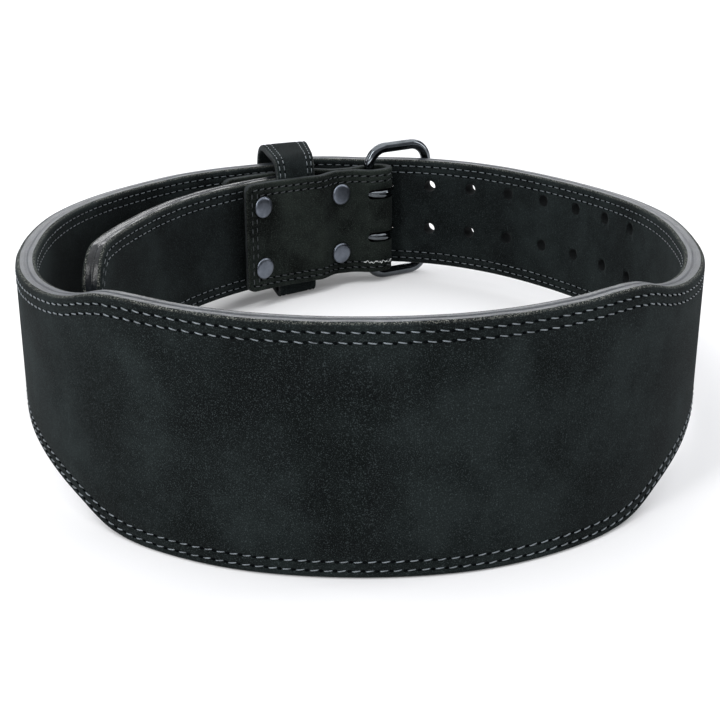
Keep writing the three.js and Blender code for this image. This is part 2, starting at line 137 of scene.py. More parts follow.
def capped(faces, rows, columns):
    # closes both ends of a tube of rings: each cap is a strip of quads between the ring's two halves
    half = columns // 2
    j = np.arange(half - 1)
    first = np.stack([j, j + 1, columns - 2 - j, columns - 1 - j], -1)
    last = first[:, ::-1] + (rows - 1) * columns
    return np.concatenate([faces, first, last])


def smoothStep(share):
    held = np.clip(share, 0, 1)
    return held * held * (3 - 2 * held)


def tableValue(xs, ys, x):
    # cubic Hermite through the rows; a row's slope is the harmonic mean of the slopes beside it
    xs, ys, x = (np.asarray(v, dtype=float) for v in (xs, ys, x))
    slopes = np.diff(ys) / np.diff(xs)
    product = slopes[:-1] * slopes[1:]
    total = slopes[:-1] + slopes[1:]
    inner = np.where(product > 0, 2 * product / np.where(total == 0, 1, total), 0)
    tangent = np.concatenate([slopes[:1], inner, slopes[-1:]])
    held = np.clip(x, xs[0], xs[-1])
    i = np.clip(np.searchsorted(xs, held, side="right") - 1, 0, len(xs) - 2)
    step = xs[i + 1] - xs[i]
    t = (held - xs[i]) / step
    rise = t * t * (3 - 2 * t)
    return (ys[i] * (1 - rise) + ys[i + 1] * rise
            + tangent[i] * step * t * (1 - t) ** 2 - tangent[i + 1] * step * t * t * (1 - t))


def smoothCurve(points, closed, steps=60):
    # centripetal Catmull-Rom: knots spaced by the square root of the distance between points
    points = np.asarray(points, dtype=float)
    count = len(points)
    if closed:
        index = np.arange(count)
        p0, p1, p2, p3 = (points[(index + k) % count] for k in (-1, 0, 1, 2))
    else:
        longer = np.concatenate([[2 * points[0] - points[1]], points, [2 * points[-1] - points[-2]]])
        p0, p1, p2, p3 = (longer[k:k + count - 1] for k in range(4))
    d0, d1, d2 = (np.sqrt(np.linalg.norm(b - a, axis=1))[:, None] for a, b in ((p0, p1), (p1, p2), (p2, p3)))
    m1 = ((p1 - p0) / d0 - (p2 - p0) / (d0 + d1) + (p2 - p1) / d1) * d1
    m2 = ((p2 - p1) / d1 - (p3 - p1) / (d1 + d2) + (p3 - p2) / d2) * d1
    t = (np.arange(steps) / steps)[None, :, None]
    p0, p1, p2, m1, m2 = (v[:, None, :] for v in (p0, p1, p2, m1, m2))
    place = ((2 * t ** 3 - 3 * t ** 2 + 1) * p1 + (t ** 3 - 2 * t ** 2 + t) * m1
             + (3 * t ** 2 - 2 * t ** 3) * p2 + (t ** 3 - t ** 2) * m2)
    return np.concatenate([place.reshape(-1, place.shape[-1]), points[:1] if closed else points[-1:]])


class PlanPath:
    # a curve in plan, read by distance along it
    def __init__(self, points, closed):
        self.dense = smoothCurve(points, closed)
        self.distance = np.concatenate([[0], np.cumsum(np.linalg.norm(np.diff(self.dense, axis=0), axis=1))])
        self.length = self.distance[-1]
        self.closed = closed

    def at(self, distance):
        # position, direction of travel, and direction out of the loop (travel turned right)
        distance = np.asarray(distance, dtype=float)
        wrapped = np.mod(distance, self.length) if self.closed else np.clip(distance, 0, self.length)

        def read(s):
            s = np.mod(s, self.length) if self.closed else np.clip(s, 0, self.length)
            return np.stack([np.interp(s, self.distance, self.dense[:, k]) for k in (0, 1)], -1)

        along = read(wrapped + 0.8) - read(wrapped - 0.8)
        along /= np.linalg.norm(along, axis=-1, keepdims=True)
        out = np.stack([along[..., 1], -along[..., 0]], -1)
        place = read(wrapped)
        if not self.closed:
            place = place + along * (distance - wrapped)[..., None]
        return place, along, out


# the belt's run and heights

belt = {
    "loopWidth": 303, "loopDepth": 367, "frontFullness": 2.2, "farFullness": 1.9,
    "loopSteps": 24, "thickness": 9.4,
    "backWidth": 101.6, "armWidth": 63.5, "backAside": 7, "taperStart": 93, "taperLength": 150, "armDrop": 12,
    "buckleAt": 0.494, "armEndPast": 41, "tipPast": 62, "endGap": 4.4, "endBlend": 70, "tipCorner": 24,
    "stitchRows": (3.4, 7.3), "stitchPitch": 5.1,
    "holeDiameter": 6.6, "holePitch": 26.9, "firstHoleBeside": 11.2, "holeColumns": 8,
    "holeRowDrop": 15.1, "holeRowClimb": 1.3, "holeRowSpacing": 26,
}
# the middle of the leather from above: across is the sine and forward the cosine of a turn, each raised to
# two over the fullness, so 2 gives an ellipse and more a squarer half
turn = 2 * np.pi * np.arange(belt["loopSteps"]) / belt["loopSteps"]
power = 2 / np.where(np.cos(turn) > 0, belt["frontFullness"], belt["farFullness"])
across = np.sign(np.sin(turn)) * np.abs(np.sin(turn)) ** power
forward = np.sign(np.cos(turn)) * np.abs(np.cos(turn)) ** power
loopPoints = np.stack([across * belt["loopWidth"], (1 - forward) * belt["loopDepth"]], -1) / 2
rawLoop = PlanPath(loopPoints, True)
halfThick = belt["thickness"] / 2

# the part stands with the middle of its box at the origin, so the loop moves with the node's box
place, along, out = rawLoop.at(np.linspace(0, rawLoop.length, 1600))
outerFace = place + out * halfThick
beltLow, beltHigh = (np.array(corner) * 1000 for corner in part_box("belt_outer_layer"))
shift = np.array([(beltLow[0] + beltHigh[0]) / 2 - (outerFace[:, 0].min() + outerFace[:, 0].max()) / 2,
                  beltLow[1] - outerFace[:, 1].min()])
loop = PlanPath(loopPoints + shift, True)
buckleStation = belt["buckleAt"] * loop.length
endOffset = (belt["thickness"] + belt["endGap"]) / 2
print("loop length", round(loop.length, 1), "shift", shift.round(2))


def endShift(distance):
    past = np.asarray(distance) - buckleStation
    outward = smoothStep(past / belt["armEndPast"])
    inward = smoothStep((belt["tipPast"] + belt["endBlend"] - past - loop.length) / belt["endBlend"])
    return endOffset * (outward - inward)


def beltMiddle(distance):
    share = np.abs(distance) / (loop.length / 2)
    drop = tableValue([0.42, 0.55, 0.76, 0.88, 1], [0, 0.25, 0.75, 0.85, 1], share)
    return belt["backWidth"] / 2 - belt["armDrop"] * drop


def beltHalf(distance):
    share = (np.abs(np.asarray(distance) - belt["backAside"]) - belt["taperStart"]) / belt["taperLength"]
    wide = tableValue([0, 0.06, 0.13, 0.18, 0.25, 0.33, 0.43, 0.6, 0.77, 1],
                      [1, 0.98, 0.91, 0.8, 0.62, 0.475, 0.35, 0.2, 0.09, 0], share)
    return (belt["armWidth"] + (belt["backWidth"] - belt["armWidth"]) * wide) / 2


def cornerLoss(fromEnd, radius):
    held = np.clip(fromEnd, 0, radius)
    return radius - np.sqrt(radius ** 2 - (radius - held) ** 2)


# the buckle strap's line, from the heel bar round to the left

buckle = {
    "wire": 6, "frameHeight": 83, "frameSpacing": 39.5, "frameCorner": 11, "frameLift": 1.5,
    "prong": 4.6, "prongPast": 4, "prongSag": 0.8, "fit": 0.35,
}
chape = {
    "thickness": 4.2, "height": 62, "middle": 38.2, "rise": 4, "reach": 92, "clearance": 4.5,
    "foldRoom": 1.1, "foldSlack": 6, "pinchRun": 12.5, "stepAt": 21, "stepRun": 17.2,
    "slotHeight": 5.6, "slotReach": 3.8, "corner": 5,
    "stitchRows": (3.2, 6.6), "stitchPitch": 4.9,
}
buckleStrap = {
    "standOff": 15.5, "reach": 294, "start": 39, "width": 62.2, "middle": 38.6, "rise": 5.2,
    "corner": 24, "stitchRows": (3.4, 7.3), "stitchPitch": 5.1,
}
keeper = {
    "thickness": 3.4, "width": 26.5, "frontAt": 51.8, "backPast": 50, "frontRise": 10.7, "backRise": 12,
    "footCorner": 9, "frontCorner": 15, "backCorner": 20, "room": 1,
    "stitchRows": (2.4, 5.6), "stitchPitch": 4.4,
}

foldRadius = buckle["wire"] / 2 + chape["foldRoom"] + chape["thickness"] / 2
heelOffset = (float(endShift(buckleStation)) - halfThick - chape["clearance"] - foldRadius
              - chape["thickness"] / 2)
heelPlace, heelAlong, heelOut = loop.at(buckleStation)
heel = heelPlace + heelOut * heelOffset
share = np.arange(25) / 24
inset = buckleStrap["standOff"] * tableValue([0, 0.08, 0.12, 0.16, 0.23, 0.41, 0.7, 1],
                                             [0, 0.5, 0.6, 0.67, 0.85, 1, 0.97, 0.5], share)
place, along, out = loop.at(buckleStation + share * buckleStrap["reach"])
strapLine = PlanPath(place + out * (heelOffset - inset)[:, None], False)


def strapHeight(distance):
    return buckleStrap["middle"] + buckleStrap["rise"] * np.asarray(distance) / strapLine.length


def leafHeight(distance):
    return chape["middle"] + chape["rise"] * np.maximum(distance, 0) / chape["reach"]


def leafOffset(distance):
    pinched = foldRadius + ((chape["thickness"] + buckle["fit"]) / 2 - foldRadius) * smoothStep(
        distance / chape["pinchRun"])
    over = halfThick + buckle["fit"] + chape["thickness"] / 2
    return pinched + (over - pinched) * smoothStep((distance - chape["stepAt"]) / chape["stepRun"])


def frontLeafOffset(distance):
    return leafOffset(distance) + (keeper["thickness"] + buckle["fit"]) * smoothStep(
        (distance - chape["stepAt"]) / chape["stepRun"])


# materials

suede = {"dark": "#0a0d0d", "light": "#181d1d", "fleck": "#3a4142", "worn": "#8b8c85", "middle": "#101414",
         "patchSize": 34, "napSize": 0.6, "fleckSize": 0.42}
oliveSuede = {**suede, "dark": "#060807", "light": "#1e2320", "middle": "#141816",
              "fleck": "#434945", "worn": "#4a4d49"}


def makeSuede(name, look):
    # split-leather suede, sanded: no gloss, cloudy where the nap lies brushed one way or the other,
    # with single paler fibres over it and a rubbed, lighter line where the leather turns at its edge
    material, tree = newMaterial(name)
    coordinate = addNode(tree, "ShaderNodeTexCoord")

    def noise(sizeInMm, detail, rough):
        return addNode(tree, "ShaderNodeTexNoise",
                       {"Scale": 1000 / sizeInMm, "Detail": detail, "Roughness": rough},
                       {"Vector": (coordinate, "Object")})

    patch, nap = noise(look["patchSize"], 4.0, 0.6), noise(look["napSize"], 3.0, 0.7)
    grain = addNode(tree, "ShaderNodeMath", {"operation": "MULTIPLY", 1: 0.25}, {0: (nap, "Fac")})
    both = addNode(tree, "ShaderNodeMath", {"operation": "MULTIPLY_ADD", 1: 0.75},
                   {0: (patch, "Fac"), 2: (grain, "Value")})
    ground = addRamp(tree, both, "Value", [(0.41, linearColour(look["dark"])),
                                           (0.5, linearColour(look["middle"])),
                                           (0.6, linearColour(look["light"]))])
    fibre = noise(look["fleckSize"], 1.0, 0.5)
    flecks = addNode(tree, "ShaderNodeMapRange", {1: 0.54, 2: 0.8, 3: 0.0, 4: 0.75}, {0: (fibre, "Fac")})
    speckled = addNode(tree, "ShaderNodeMix", {"data_type": "RGBA", 7: linearColour(look["fleck"])},
                       {0: (flecks, "Result"), 6: (ground, "Color")})
    # distance from the cut edge, in metres, is the second value of the piece's own map
    uvMap = addNode(tree, "ShaderNodeUVMap", {"uv_map": "surface"})
    parts = addNode(tree, "ShaderNodeSeparateXYZ", links={"Vector": (uvMap, "UV")})
    near = addNode(tree, "ShaderNodeMapRange", {1: 0.0009, 2: 0.0001, 3: 0.0, 4: 1.0}, {0: (parts, "Y")})
    rub = addNode(tree, "ShaderNodeMapRange", {1: 0.5, 2: 0.68, 3: 0.0, 4: 0.9}, {0: (nap, "Fac")})
    rubbed = addNode(tree, "ShaderNodeMath", {"operation": "MULTIPLY"},
                     {0: (near, "Result"), 1: (rub, "Result")})
    finished = addNode(tree, "ShaderNodeMix", {"data_type": "RGBA", 7: linearColour(look["worn"])},
                       {0: (rubbed, "Value"), 6: (speckled, 2)})
    bump = addNode(tree, "ShaderNodeBump", {"Strength": 0.6, "Distance": 0.0003}, {"Height": (nap, "Fac")})
    shader = addNode(tree, "ShaderNodeBsdfPrincipled",
                     {"Roughness": 0.95, "Specular IOR Level": 0.04, "Sheen Weight": 0.03,
                      "Sheen Roughness": 0.5, "Sheen Tint": linearColour("#b9c4c6")},
                     {"Base Color": (finished, 2), "Normal": (bump, "Normal")})
    finishMaterial(tree, shader)
    return material


edgePaint = {"dark": "#1a1d20", "light": "#3d4146", "grain": 900.0, "roughness": 0.34, "shine": 0.36}
blackEdge = {"dark": "#08090a", "light": "#1d2023", "grain": 900.0, "roughness": 0.14, "shine": 0.2}
rawCut = {"dark": "#101313", "light": "#34383a", "grain": 1100.0, "roughness": 0.85, "shine": 0.1}


def makeEdge(name, look):
    # cut edge of black-dyed leather, burnished smooth and grey, or left raw: short fibres show along it
    material, tree = newMaterial(name)
    coordinate = addNode(tree, "ShaderNodeTexCoord")
    fibre = addNode(tree, "ShaderNodeTexNoise", {"Scale": look["grain"], "Detail": 4.0, "Roughness": 0.7},
                    {"Vector": (coordinate, "Object")})
    cloud = addNode(tree, "ShaderNodeTexNoise", {"Scale": 60.0, "Detail": 2.0},
                    {"Vector": (coordinate, "Object")})
    both = addNode(tree, "ShaderNodeMath", {"operation": "MULTIPLY_ADD", 1: 0.6},
                   {0: (cloud, "Fac"), 2: (fibre, "Fac")})
    ramp = addRamp(tree, both, "Value",
                   [(0.55, linearColour(look["dark"])), (1.0, linearColour(look["light"]))])
    bump = addNode(tree, "ShaderNodeBump", {"Strength": 0.35, "Distance": 0.0003}, {"Height": (fibre, "Fac")})
    shader = addNode(tree, "ShaderNodeBsdfPrincipled",
                     {"Roughness": look["roughness"], "Specular IOR Level": look["shine"]},
                     {"Base Color": (ramp, "Color"), "Normal": (bump, "Normal")})
    finishMaterial(tree, shader)
    return material


thread = {"dark": "#2c3134", "light": "#70777c"}


def makeThread(name, look):
    # bonded nylon sewing thread, three plies: slightly shiny, with painted highlight on the crowns of the
    # plies and painted shade between them
    material, tree = newMaterial(name)
    coordinate = addNode(tree, "ShaderNodeTexCoord")
    ply = addNode(tree, "ShaderNodeTexWave",
                  {"Scale": 900.0, "Distortion": 1.5, "bands_direction": "DIAGONAL"},
                  {"Vector": (coordinate, "Object")})
    shade = addNode(tree, "ShaderNodeTexNoise", {"Scale": 400.0, "Detail": 2.0},
                    {"Vector": (coordinate, "Object")})
    both = addNode(tree, "ShaderNodeMath", {"operation": "MULTIPLY_ADD", 1: 0.35},
                   {0: (ply, "Fac"), 2: (shade, "Fac")})
    ramp = addRamp(tree, both, "Value",
                   [(0.35, linearColour(look["dark"])), (0.85, linearColour(look["light"]))])
    bump = addNode(tree, "ShaderNodeBump", {"Strength": 0.4, "Distance": 0.0001}, {"Height": (ply, "Fac")})
    shader = addNode(tree, "ShaderNodeBsdfPrincipled", {"Roughness": 0.42},
                     {"Base Color": (ramp, "Color"), "Normal": (bump, "Normal")})
    finishMaterial(tree, shader)
    return material


def makePit(name):
    # the needle's hole: compressed leather in deep shade
    material, tree = newMaterial(name)
    coordinate = addNode(tree, "ShaderNodeTexCoord")
    noise = addNode(tree, "ShaderNodeTexNoise", {"Scale": 900.0}, {"Vector": (coordinate, "Object")})
    ramp = addRamp(tree, noise, "Fac", [(0.3, linearColour("#050607")), (0.8, linearColour("#0d1011"))])
    shader = addNode(tree, "ShaderNodeBsdfPrincipled", {"Roughness": 1.0, "Specular IOR Level": 0.0},
                     {"Base Color": (ramp, "Color")})
    finishMaterial(tree, shader)
    return material


gunmetal = {"dark": "#4a4e51", "light": "#686c70", "roughness": (0.07, 0.15)}
nickel = {"dark": "#555a62", "light": "#767c86", "roughness": (0.26, 0.4)}


def makeMetal(name, look, grain):
    # plated steel: polished wire or satin cap, with faint handling marks that dull the shine in patches
    material, tree = newMaterial(name)
    coordinate = addNode(tree, "ShaderNodeTexCoord")
    marks = addNode(tree, "ShaderNodeTexNoise", {"Scale": 180.0, "Detail": 5.0, "Roughness": 0.6},
                    {"Vector": (coordinate, "Object")})
    fine = addNode(tree, "ShaderNodeTexNoise", {"Scale": grain, "Detail": 3.0},
                   {"Vector": (coordinate, "Object")})
    ramp = addRamp(tree, marks, "Fac",
                   [(0.3, linearColour(look["dark"])), (0.75, linearColour(look["light"]))])
    low, high = look["roughness"]
    rough = addNode(tree, "ShaderNodeMapRange", {3: low, 4: high}, {0: (marks, "Fac")})
    bump = addNode(tree, "ShaderNodeBump", {"Strength": 0.06, "Distance": 0.0001}, {"Height": (fine, "Fac")})
    shader = addNode(tree, "ShaderNodeBsdfPrincipled", {"Metallic": 1.0},
                     {"Base Color": (ramp, "Color"), "Roughness": (rough, "Result"),
                      "Normal": (bump, "Normal")})
    finishMaterial(tree, shader)
    return material


suedeLeather = makeSuede("black suede split leather", suede)
oliveLeather = makeSuede("washed black suede split leather", oliveSuede)
burnishedEdge = makeEdge("burnished leather edge", edgePaint)
polishedEdge = makeEdge("black polished leather edge", blackEdge)
# walls of the punched holes: the raw cut colour taken darker still, as painted shade inside the holes
holeWallShaded = makeEdge("punched leather wall with painted shade", {**rawCut, "dark": "#0a0c0c", "light": "#1b1e1f"})
rawEdge = makeEdge("raw cut leather edge", rawCut)
nylonThread = makeThread("grey bonded nylon thread", thread)
blackThread = makeThread("black bonded nylon thread", {**thread, "dark": "#0b0d0e", "light": "#3a3f43"})
whiteThread = makeThread("frayed undyed nylon thread", {**thread, "dark": "#8f9494", "light": "#d5d8d6"})
holeShade = makePit("painted shade in needle holes and slots")
platedWire = makeMetal("gunmetal plated steel wire", gunmetal, 1500.0)
rivetNickel = makeMetal("satin nickel plated steel", nickel, 3500.0)
print("materials made")


# leather straps: a rounded, grooved section carried along a line

def strapSection(thickness, rows, seam):
    # half of the section round a strap, as (offset out, distance in from the edge, part), where part 0
    # is suede and 1 the cut edge: down the outer face with a groove under each stitch row, round a
    # corner, over the cut edge with its glue line, round the other corner and down the inner face
    half = thickness / 2
    radius = min(2.0, half * 0.42)
    turn = np.radians([0, 18, 36, 54, 72, 90])
    corner = [(half - radius + radius * math.cos(a), radius - radius * math.sin(a), 0) for a in turn]
    face = []
    for row in rows:
        face += [(half, row - 1.0, 0), (half - 0.16, row - 0.5, 0), (half - 0.3, row, 0),
                 (half - 0.16, row + 0.5, 0), (half, row + 1.0, 0)]
    inside = half - radius
    if seam:
        band = [(inside * 0.93, -0.02, 1), (inside * 0.45, -0.1, 1), (0.45, 0.05, 1), (0.0, 0.5, 1)]
    else:
        band = [(inside * 0.8, -0.03, 1), (inside * 0.3, -0.06, 1)]
    mirrored = [(-o, d, k) for o, d, k in reversed(band)]
    if seam:
        mirrored = mirrored[1:]
    return (list(reversed(face)) + corner + band + mirrored + [(-o, d, k) for o, d, k in reversed(corner)]
            + [(-o, d, k) for o, d, k in face])


def strapMesh(stations, frameAt, middle, half, thickness, rows, seam, wobble):
    # every station's ring: the top half of the section, the inner face's middle, the same for the
    # bottom half, the outer face's middle; heights are measured from the strap's own edges
    section = strapSection(thickness, rows, seam)
    offset = np.array([row[0] for row in section])
    depth = np.array([row[1] for row in section])
    kind = np.array([row[2] for row in section])
    between = np.linspace(0, 1, 10)[1:-1]
    place, along, out = frameAt(stations)
    count = len(stations)
    squeeze = np.minimum(1, half / (depth.max() + 1.0))[:, None]
    top = (middle + half)[:, None] - depth[None, :] * squeeze
    low = (middle - half)[:, None] + depth[None, ::-1] * squeeze
    innerMid = top[:, -1:] + (low[:, :1] - top[:, -1:]) * between
    outerMid = low[:, -1:] + (top[:, :1] - low[:, -1:]) * between
    heights = np.concatenate([top, innerMid, low, outerMid], 1)
    flat = np.full(len(between), thickness / 2)
    fromNearEnd = np.minimum(stations - stations[0], stations[-1] - stations)
    endLoss = 1 - cornerLoss(fromNearEnd + 0.05, 1.9) / (thickness / 2)
    offsets = np.concatenate([offset, -flat, offset[::-1], flat])
    far = np.full(len(between), 20.0)
    fromEdge = np.concatenate([depth, far, depth[::-1], far])
    edge = np.concatenate([kind == 1, flat < 0, kind[::-1] == 1, flat < 0])
    columns = len(offsets)
    s = stations[:, None]
    # worn leather is never quite flat: two slow waves in and out, and a ripple along the edges
    slow = np.sin(s / 17.3 + heights / 31) + 0.6 * np.sin(s / 7.9 - heights / 13 + 1.3)
    wave = wobble * slow * np.sign(offsets)
    ripple = wobble * 0.5 * np.sin(s / 4.1 + 2.0) * np.where(edge, 1, 0) * np.sign(heights - middle[:, None])
    spread = (offsets[None, :] + wave * 0.5) * endLoss[:, None]
    points = np.empty((count, columns, 3))
    points[..., :2] = place[:, None, :] + out[:, None, :] * spread[..., None]
    points[..., 2] = heights + ripple
    faces = gridFaces(count, columns, False, True)
    faceKind = (edge | np.roll(edge, -1))[None, :].repeat(count - 1, 0).ravel().astype(int)
    # the two end caps are cut edges, each a fan of its own ring round a middle line
    first = np.arange(columns)
    last = first + (count - 1) * columns
    fromEnd = np.minimum(s - s[0], s[-1] - s)
    uv = np.stack([np.broadcast_to(s, heights.shape), np.minimum(fromEdge[None, :], fromEnd)], -1) * mm
    return points.reshape(-1, 3), faces, faceKind, uv.reshape(-1, 2), first, last


def capRing(ring):
    # a flat end: the ring's points run down one side and up the other, so opposite points are joined
    count = len(ring)
    j = np.arange(count // 2 - 1)
    return np.stack([ring[j], ring[j + 1], ring[count - 2 - j], ring[count - 1 - j]], -1)


def buildStrap(name, stations, frameAt, middle, half, thickness, rows, materials, seam=True, wobble=0.12):
    points, faces, kind, uv, first, last = strapMesh(
        stations, frameAt, middle, half, thickness, rows, seam, wobble)
    # caps join mirrored points, so each ring starts half way along the outer face's eight middle points
    ringA, ringB = np.roll(first, 4), np.roll(last, 4)
    caps = np.concatenate([capRing(ringA)[:, ::-1], capRing(ringB)])
    allFaces = np.concatenate([faces, caps])
    kinds = np.concatenate([kind, np.ones(len(caps), dtype=int)])
    piece = meshObject(name, points, allFaces, materials, kinds, uv)
    return facesOut(piece)


def punchHoles(piece, cutters):
    # cutters: closed cylinders joined in one mesh, subtracted and then removed
    modifier = piece.modifiers.new("punched", "BOOLEAN")
    modifier.operation = "DIFFERENCE"
    modifier.solver = "EXACT"
    modifier.object = cutters
    modifier.material_mode = "TRANSFER"
    depsgraph = bpy.context.evaluated_depsgraph_get()
    cut = bpy.data.meshes.new_from_object(piece.evaluated_get(depsgraph))
    piece.modifiers.clear()
    old = piece.data
    piece.data = cut
    cut.name = old.name
    bpy.data.meshes.remove(old)
    bpy.data.objects.remove(cutters)


def cylinderCutters(name, centres, directions, radius, length, material, sides=32):
    # tubes round each centre: a circle of points at both ends of the axis, closed by two fans
    angle = 2 * math.pi * np.arange(sides) / sides
    up = np.array([0, 0, 1.0])
    across = np.cross(up, directions)
    ring = (np.cos(angle)[None, :, None] * across[:, None, :] + np.sin(angle)[None, :, None] * up) * radius
    ends = np.stack([centres - directions * length / 2, centres + directions * length / 2], 1)
    points = ends[:, :, None, :] + ring[:, None, :, :]
    hubs = ends[:, :, None, :]
    points = np.concatenate([points, hubs], 2).reshape(-1, 3)
    j = np.arange(sides)
    k = (j + 1) % sides
    step = sides + 1
    wall = np.concatenate([np.stack([j, k, step + k], -1), np.stack([j, step + k, step + j], -1)])
    caps = np.concatenate([np.stack([k, j, np.full(sides, sides)], -1),
                           np.stack([step + j, step + k, np.full(sides, step + sides)], -1)])
    single = np.concatenate([wall, caps])
    faces = (single[None] + (np.arange(len(centres)) * 2 * step)[:, None, None]).reshape(-1, 3)
    return facesOut(meshObject(name, points, faces, [material], smooth=False))


# stitches: short threads lying in the grooves, with dark discs of painted shade for the needle's holes
# between them

def stitchTemplate():
    # a bowed thread of six-sided rings: height follows a flat arch that dives in at both ends
    t = np.array([-1, -0.92, -0.6, 0, 0.6, 0.92, 1])
    radius = np.array([0.12, 0.36, 0.47, 0.5, 0.47, 0.36, 0.12])
    rise = np.array([-0.75, -0.25, 0.12, 0.22, 0.12, -0.25, -0.75])
    angle = 2 * math.pi * np.arange(6) / 6
    ring = np.stack([np.broadcast_to(t[:, None], (7, 6)), radius[:, None] * np.cos(angle),
                     rise[:, None] + radius[:, None] * np.sin(angle)], -1).reshape(-1, 3)
    faces = gridFaces(7, 6, False, True)
    cap = np.array([[0, 1, 4, 5], [1, 2, 3, 4]])
    return ring, np.concatenate([faces, cap[:, ::-1], cap + 36])


def pitTemplate():
    # an eight-sided lens, just proud of the leather: a dark disc of painted shade where the needle went in
    angle = 2 * math.pi * np.arange(8) / 8
    ring = np.stack([np.cos(angle), np.sin(angle), np.zeros(8)], -1)
    points = np.concatenate([ring, [[0, 0, 0.1]], [[0, 0, -0.5]]])
    j = np.arange(8)
    k = (j + 1) % 8
    return points, np.concatenate([np.stack([j, k, np.full(8, 8)], -1), np.stack([k, j, np.full(8, 9)], -1)])


def scatter(name, template, scales, places, alongs, outs, material):
    # every copy: its own axes times the template's coordinates, all at once
    points, faces = template
    side = np.cross(outs, alongs)
    local = points[None] * scales
    world = (places[:, None, :] + local[..., 0:1] * alongs[:, None, :] + local[..., 1:2] * side[:, None, :]
             + local[..., 2:3] * outs[:, None, :])
    copyStarts = np.arange(len(places)) * len(points)
    allFaces = (faces[None] + copyStarts[:, None, None]).reshape(-1, faces.shape[1])
    return facesOut(meshObject(name, world.reshape(-1, 3), allFaces, [material]))


def walkOutline(points, pitch, start=0.5):
    # even steps along a polyline of (distance, height): positions and unit directions
    points = np.asarray(points, dtype=float)
    length = np.concatenate([[0], np.cumsum(np.linalg.norm(np.diff(points, axis=0), axis=1))])
    count = int(length[-1] / pitch)
    at = (np.arange(count) + start) * (length[-1] / count)
    here = np.stack([np.interp(at, length, points[:, k]) for k in (0, 1)], -1)
    ahead = np.stack([np.interp(np.minimum(at + 0.5, length[-1]), length, points[:, k]) for k in (0, 1)], -1)
    behind = np.stack([np.interp(np.maximum(at - 0.5, 0), length, points[:, k]) for k in (0, 1)], -1)
    direction = ahead - behind
    return here, direction / np.linalg.norm(direction, axis=1, keepdims=True), length[-1] / count


stitches = {key: [] for key in ("places", "alongs", "outs", "lengths", "widths")}
darkStitches = {key: [] for key in stitches}
pits = {"places": [], "alongs": [], "outs": []}
random = np.random.default_rng(7)


def sewRow(outline, pitch, frameAt, faceOffset, side, threads=stitches):
    # faceOffset(distance) is the face's distance out of the line; side is +1 on the outer face
    for half, store in ((0.5, threads), (0.0, pits)):
        here, direction, step = walkOutline(outline, pitch, half)
        here = here + random.normal(0, 0.06, here.shape)
        place, along, out = frameAt(here[:, 0])
        spread = faceOffset(here[:, 0]) - side * 0.12
        point = np.concatenate([place + out * spread[:, None], here[:, 1:]], -1)
        tilt = direction + random.normal(0, 0.02, direction.shape)
        if side > 0:
            tilt = tilt + 0.16 * np.stack([-direction[:, 1], direction[:, 0]], -1) * np.sign(direction[:, :1])
        tangent = np.concatenate([along * tilt[:, :1], tilt[:, 1:]], -1)
        tangent /= np.linalg.norm(tangent, axis=1, keepdims=True)
        normal = np.concatenate([out * side, np.zeros((len(here), 1))], -1)
        store["places"].append(point)
        store["alongs"].append(tangent)
        store["outs"].append(normal)
        if store is threads:
            store["lengths"].append(np.full(len(here), step * (0.33 if side > 0 else 0.36)))
            store["widths"].append(np.full(len(here), 0.56 if side > 0 else 0.43))


def roundedEnd(fromS, toS, middleAt, halfAt, row, radius, bothEnds=False):
    # an open outline set in by row from a strap's edges, round its free end: bottom, end, top
    body = np.linspace(fromS, toS - max(radius, row), 90)
    turn = np.radians(np.linspace(0, 90, 12))
    inner = max(radius - row, 0.6)
    cx = toS - row - inner
    endMiddle, endHalf = float(middleAt(np.array(cx))), float(halfAt(np.array(cx)))
    low = np.stack([body, middleAt(body) - halfAt(body) + row], -1)
    high = np.stack([body, middleAt(body) + halfAt(body) - row], -1)
    across = cx + inner * np.sin(turn)
    climb = inner * (1 - np.cos(turn))
    lowTurn = np.stack([across, endMiddle - endHalf + row + climb], -1)
    highTurn = np.stack([across, endMiddle + endHalf - row - climb], -1)
    return np.concatenate([low, lowTurn, highTurn[::-1], high[::-1]])


# the long band

start = buckleStation + belt["armEndPast"] - loop.length
end = buckleStation + belt["tipPast"]
fan = belt["tipCorner"] * (1 - np.cos(np.radians(np.linspace(6, 90, 16))))
stations = np.concatenate([np.arange(start, end - belt["tipCorner"], 2.2), (end - fan)[::-1]])


def bandFrame(s):
    place, along, out = loop.at(s)
    return place + out * endShift(s)[..., None], along, out


half = beltHalf(stations) - cornerLoss(end - stations, belt["tipCorner"])
band = buildStrap("belt", stations, bandFrame, beltMiddle(stations), half, belt["thickness"],
                  belt["stitchRows"], [suedeLeather, burnishedEdge])

topAtBuckle = float(beltMiddle(buckleStation) + beltHalf(buckleStation))
holeCentres, holeDirections = [], []
for column in range(belt["holeColumns"]):
    distance = buckleStation - belt["firstHoleBeside"] - column * belt["holePitch"]
    place, along, out = bandFrame(np.array(distance))
    upper = topAtBuckle - belt["holeRowDrop"] + column * belt["holeRowClimb"]
    for height in (upper, upper - belt["holeRowSpacing"]):
        holeCentres.append([place[0], place[1], height])
        holeDirections.append([out[0], out[1], 0])
holeCentres, holeDirections = np.array(holeCentres), np.array(holeDirections)
punchHoles(band, cylinderCutters("punches", holeCentres, holeDirections, belt["holeDiameter"] / 2, 24,
                                 holeWallShaded))
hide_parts("belt_outer_layer", "belt_inner_layer")
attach(band, "root")
print("belt made:", len(band.data.polygons), "faces")

for side in (1, -1):
    for row in belt["stitchRows"]:
        outline = roundedEnd(start + 3, end, beltMiddle, beltHalf, row, belt["tipCorner"])
        sewRow(outline, belt["stitchPitch"], bandFrame, lambda s: np.full(len(s), side * halfThick), side)


# the strap that carries the buckle

